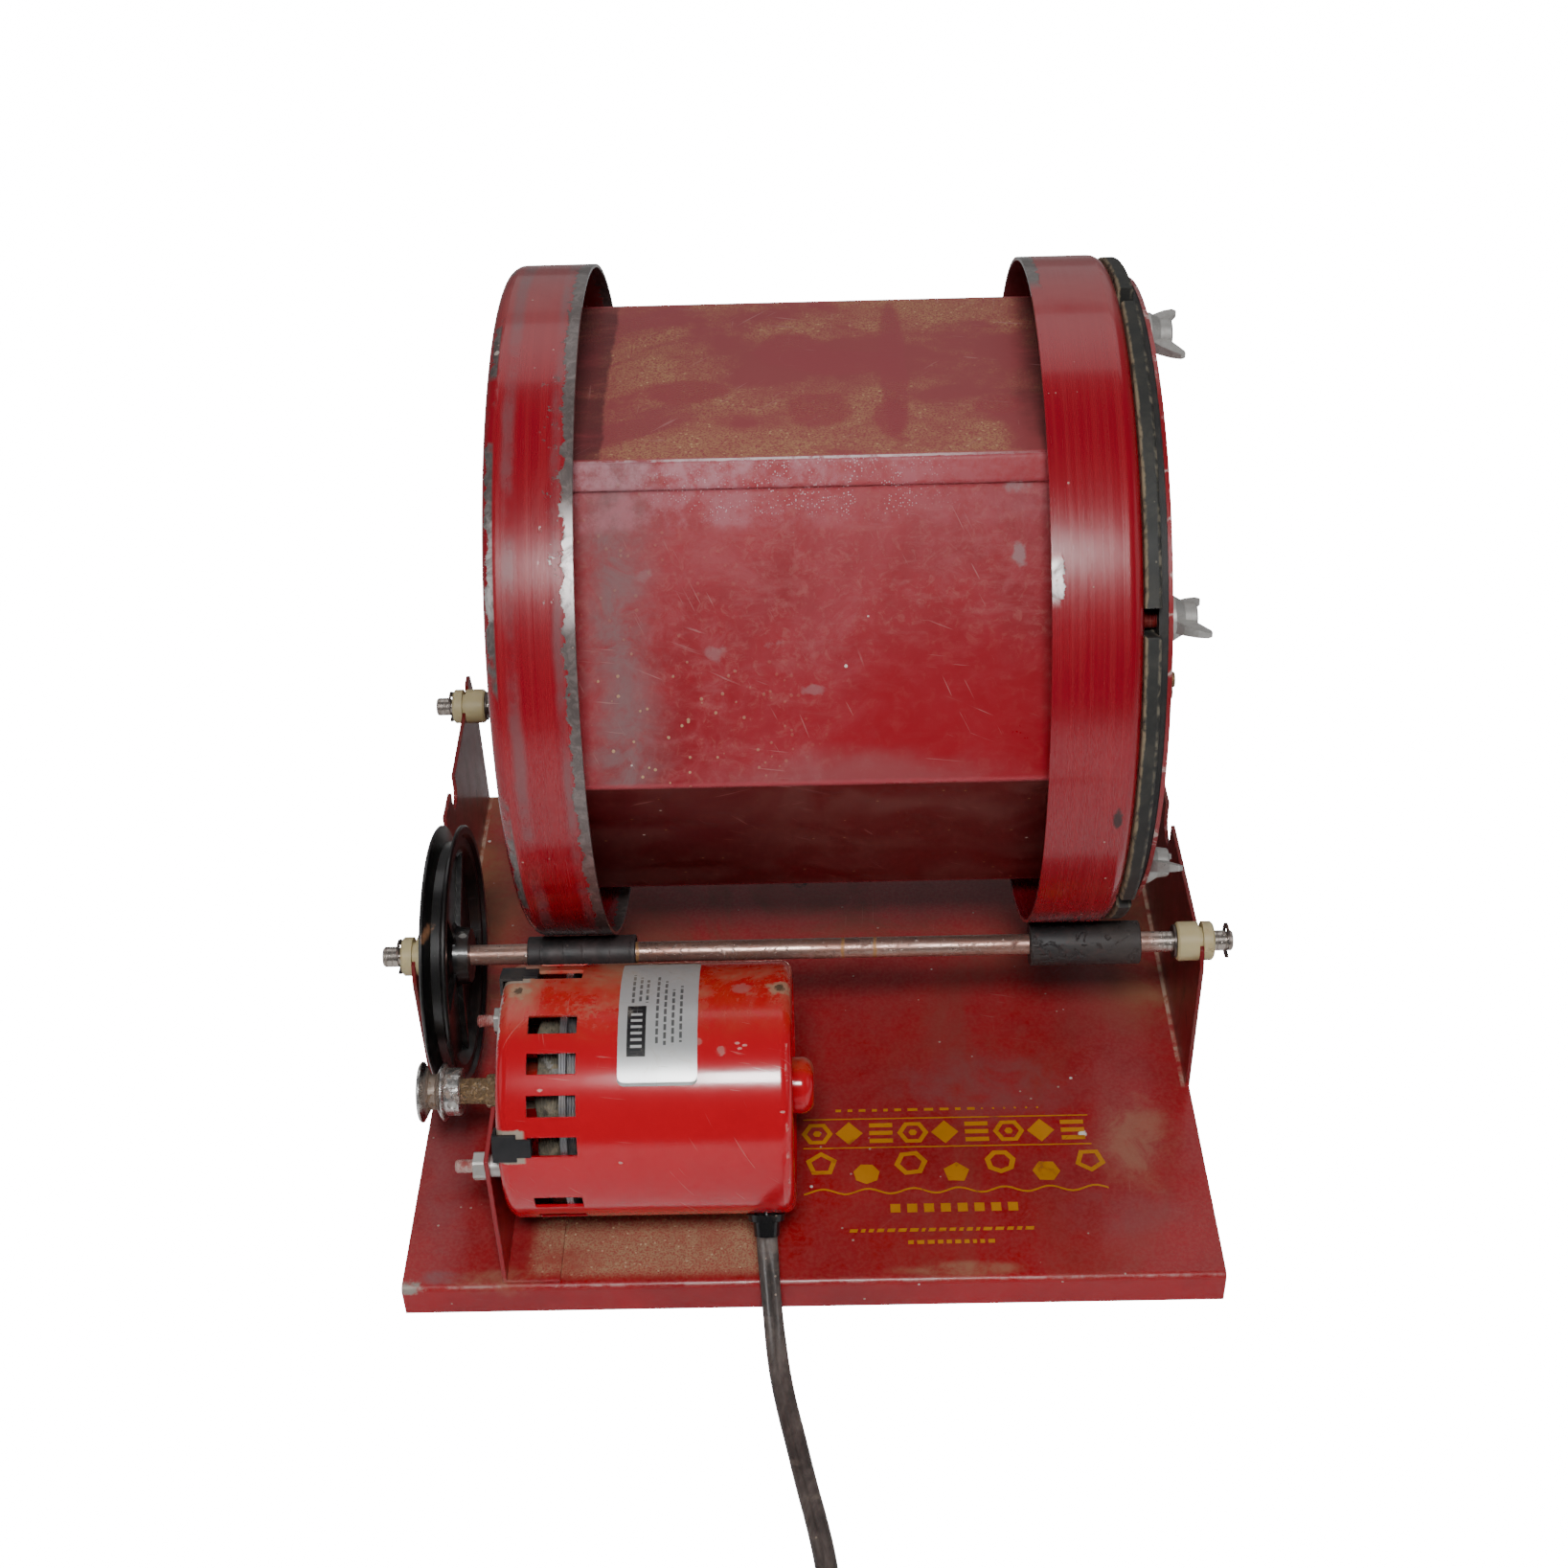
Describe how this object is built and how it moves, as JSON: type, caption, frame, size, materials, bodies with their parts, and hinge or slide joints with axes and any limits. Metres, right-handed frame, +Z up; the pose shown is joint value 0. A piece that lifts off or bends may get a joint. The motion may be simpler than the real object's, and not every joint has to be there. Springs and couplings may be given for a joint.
{
  "type": "rotary rock tumbler",
  "caption": "Motorised rotary rock tumbler: hexagonal lined barrel with round end pans turning on two roller shafts in a folded steel base.",
  "frame": {"origin": "on the floor, under the middle of the machine's own box, without its cord", "axes": "+X along the barrel and both shafts, towards the lid; +Y from the motor to the rear; +Z up"},
  "size_m": [0.3288, 0.5822, 0.3187],
  "materials": {
    "red_paint_frame": "dusty semi-gloss dark red enamel on sheet steel",
    "red_paint_motor": "glossy bright red enamel",
    "red_paint_barrel": "red enamel under a beige and grey film of grit",
    "red_paint_pan": "glossy red enamel worn along its rims",
    "red_paint_bolts": "red overspray on steel threads",
    "zinc": "dull zinc plate",
    "cast_zinc": "dull grey casting",
    "nylon": "off-white nylon",
    "black_steel": "flat black tab",
    "laminations": "dusty grey laminated steel",
    "windings": "varnished copper wire",
    "bronze": "sintered bronze",
    "foil_label": null,
    "black_plastic": "moulded strain relief",
    "cord_jacket": "dusty brown-black flexible jacket",
    "plug_brass": "plated brass blades",
    "shaft_steel": "worn steel with a brown rust film",
    "rusty_steel": "rusted steel",
    "spring_steel": "dark spring steel",
    "black_pulley": "glossy black moulded plastic",
    "pulley_zinc": "zinc alloy with rusty dust",
    "sleeve_rubber": "black rubber",
    "liner_rubber": "grey-black rubber with grit",
    "gasket_rubber": "black gasket rubber"
  },
  "bodies": {
    "root": {"base_frame": "red_paint_frame", "motor_bracket": "red_paint_frame", "bracket_screws": "zinc", "drive_bushing_left": "nylon", "drive_bushing_right": "nylon", "idler_bushing_left": "nylon", "idler_bushing_right": "nylon", "motor_shell": "red_paint_motor", "motor_end_bell_left": "red_paint_motor", "motor_end_bell_right": "red_paint_motor", "motor_end_clips": "black_steel", "motor_stator": "laminations", "motor_windings": "windings", "motor_bearing_left": "bronze", "motor_bearing_right": "bronze", "motor_through_bolts": "red_paint_bolts", "motor_nuts": "zinc", "motor_nameplate": "foil_label", "cord_grommet": "black_plastic", "power_cord": "cord_jacket", "cord_coil": "cord_jacket", "cord_tail": "cord_jacket", "plug_body": "cord_jacket", "plug_blades": "plug_brass"},
    "drive": {"drive_shaft": "shaft_steel", "drive_pulley": "black_pulley", "drive_pulley_screw": "zinc", "drive_sleeve_left": "sleeve_rubber", "drive_sleeve_right": "sleeve_rubber", "drive_clips": "spring_steel", "drive_washers": "spring_steel"},
    "idler": {"idler_shaft": "shaft_steel", "idler_sleeve_left": "sleeve_rubber", "idler_sleeve_right": "sleeve_rubber", "idler_clips": "spring_steel", "idler_washers": "spring_steel"},
    "rotor": {"motor_shaft": "rusty_steel", "rotor_core": "laminations", "cooling_fan": "zinc", "motor_pulley": "pulley_zinc", "motor_pulley_screw": "zinc"},
    "barrel": {"barrel_tube": "red_paint_barrel", "closed_end_pan": "red_paint_pan", "open_end_pan": "red_paint_pan", "rubber_liner": "liner_rubber", "lid_studs": "red_paint_bolts"},
    "lid": {"lid_disc": "red_paint_pan", "lid_gasket": "gasket_rubber", "lid_rivet": "rusty_steel"},
    "wing_nut_1": {"wing_nut_1": "cast_zinc"},
    "wing_nut_2": {"wing_nut_2": "cast_zinc"},
    "wing_nut_3": {"wing_nut_3": "cast_zinc"},
    "wing_nut_4": {"wing_nut_4": "cast_zinc"},
    "wing_nut_5": {"wing_nut_5": "cast_zinc"},
    "wing_nut_6": {"wing_nut_6": "cast_zinc"}
  },
  "joints": [
    {"name": "barrel_spin", "type": "hinge", "parent": "root", "child": "barrel", "pos_m": [0, 0.0302, 0.19074], "axis": [1, 0, 0], "continuous": true},
    {"name": "drive_spin", "type": "hinge", "parent": "root", "child": "drive", "pos_m": [0, -0.0522, 0.0833], "axis": [1, 0, 0], "continuous": true},
    {"name": "idler_spin", "type": "hinge", "parent": "root", "child": "idler", "pos_m": [0, 0.1126, 0.0833], "axis": [1, 0, 0], "continuous": true},
    {"name": "motor_spin", "type": "hinge", "parent": "root", "child": "rotor", "pos_m": [0, -0.1142, 0.0723], "axis": [1, 0, 0], "continuous": true},
    {"name": "lid_release", "type": "slide", "parent": "barrel", "child": "lid", "axis": [1, 0, 0], "range_m": [0, 0.0105]},
    {"name": "wing_nut_1_turn", "type": "hinge", "parent": "lid", "child": "wing_nut_1", "pos_m": [0.128, -0.06647, 0.24323], "axis": [1, 0, 0], "range_deg": [0, 2986.4]},
    {"name": "wing_nut_2_turn", "type": "hinge", "parent": "lid", "child": "wing_nut_2", "pos_m": [0.128, 0.02732, 0.3007], "axis": [1, 0, 0], "range_deg": [0, 2986.4]},
    {"name": "wing_nut_3_turn", "type": "hinge", "parent": "lid", "child": "wing_nut_3", "pos_m": [0.128, 0.12399, 0.24821], "axis": [1, 0, 0], "range_deg": [0, 2986.4]},
    {"name": "wing_nut_4_turn", "type": "hinge", "parent": "lid", "child": "wing_nut_4", "pos_m": [0.128, 0.12687, 0.13825], "axis": [1, 0, 0], "range_deg": [0, 2986.4]},
    {"name": "wing_nut_5_turn", "type": "hinge", "parent": "lid", "child": "wing_nut_5", "pos_m": [0.128, 0.03308, 0.08078], "axis": [1, 0, 0], "range_deg": [0, 2986.4]},
    {"name": "wing_nut_6_turn", "type": "hinge", "parent": "lid", "child": "wing_nut_6", "pos_m": [0.128, -0.06359, 0.13326], "axis": [1, 0, 0], "range_deg": [0, 2986.4]}
  ],
  "couplings": [
    {"joint": "drive_spin", "follows": "barrel_spin", "ratio": -15.083},
    {"joint": "idler_spin", "follows": "barrel_spin", "ratio": -15.083},
    {"joint": "motor_spin", "follows": "barrel_spin", "ratio": -83.739},
    {"joint": "wing_nut_1_turn", "follows": "lid_release", "rad_per_m": 4947.4},
    {"joint": "wing_nut_2_turn", "follows": "lid_release", "rad_per_m": 4947.4},
    {"joint": "wing_nut_3_turn", "follows": "lid_release", "rad_per_m": 4947.4},
    {"joint": "wing_nut_4_turn", "follows": "lid_release", "rad_per_m": 4947.4},
    {"joint": "wing_nut_5_turn", "follows": "lid_release", "rad_per_m": 4947.4},
    {"joint": "wing_nut_6_turn", "follows": "lid_release", "rad_per_m": 4947.4}
  ]
}
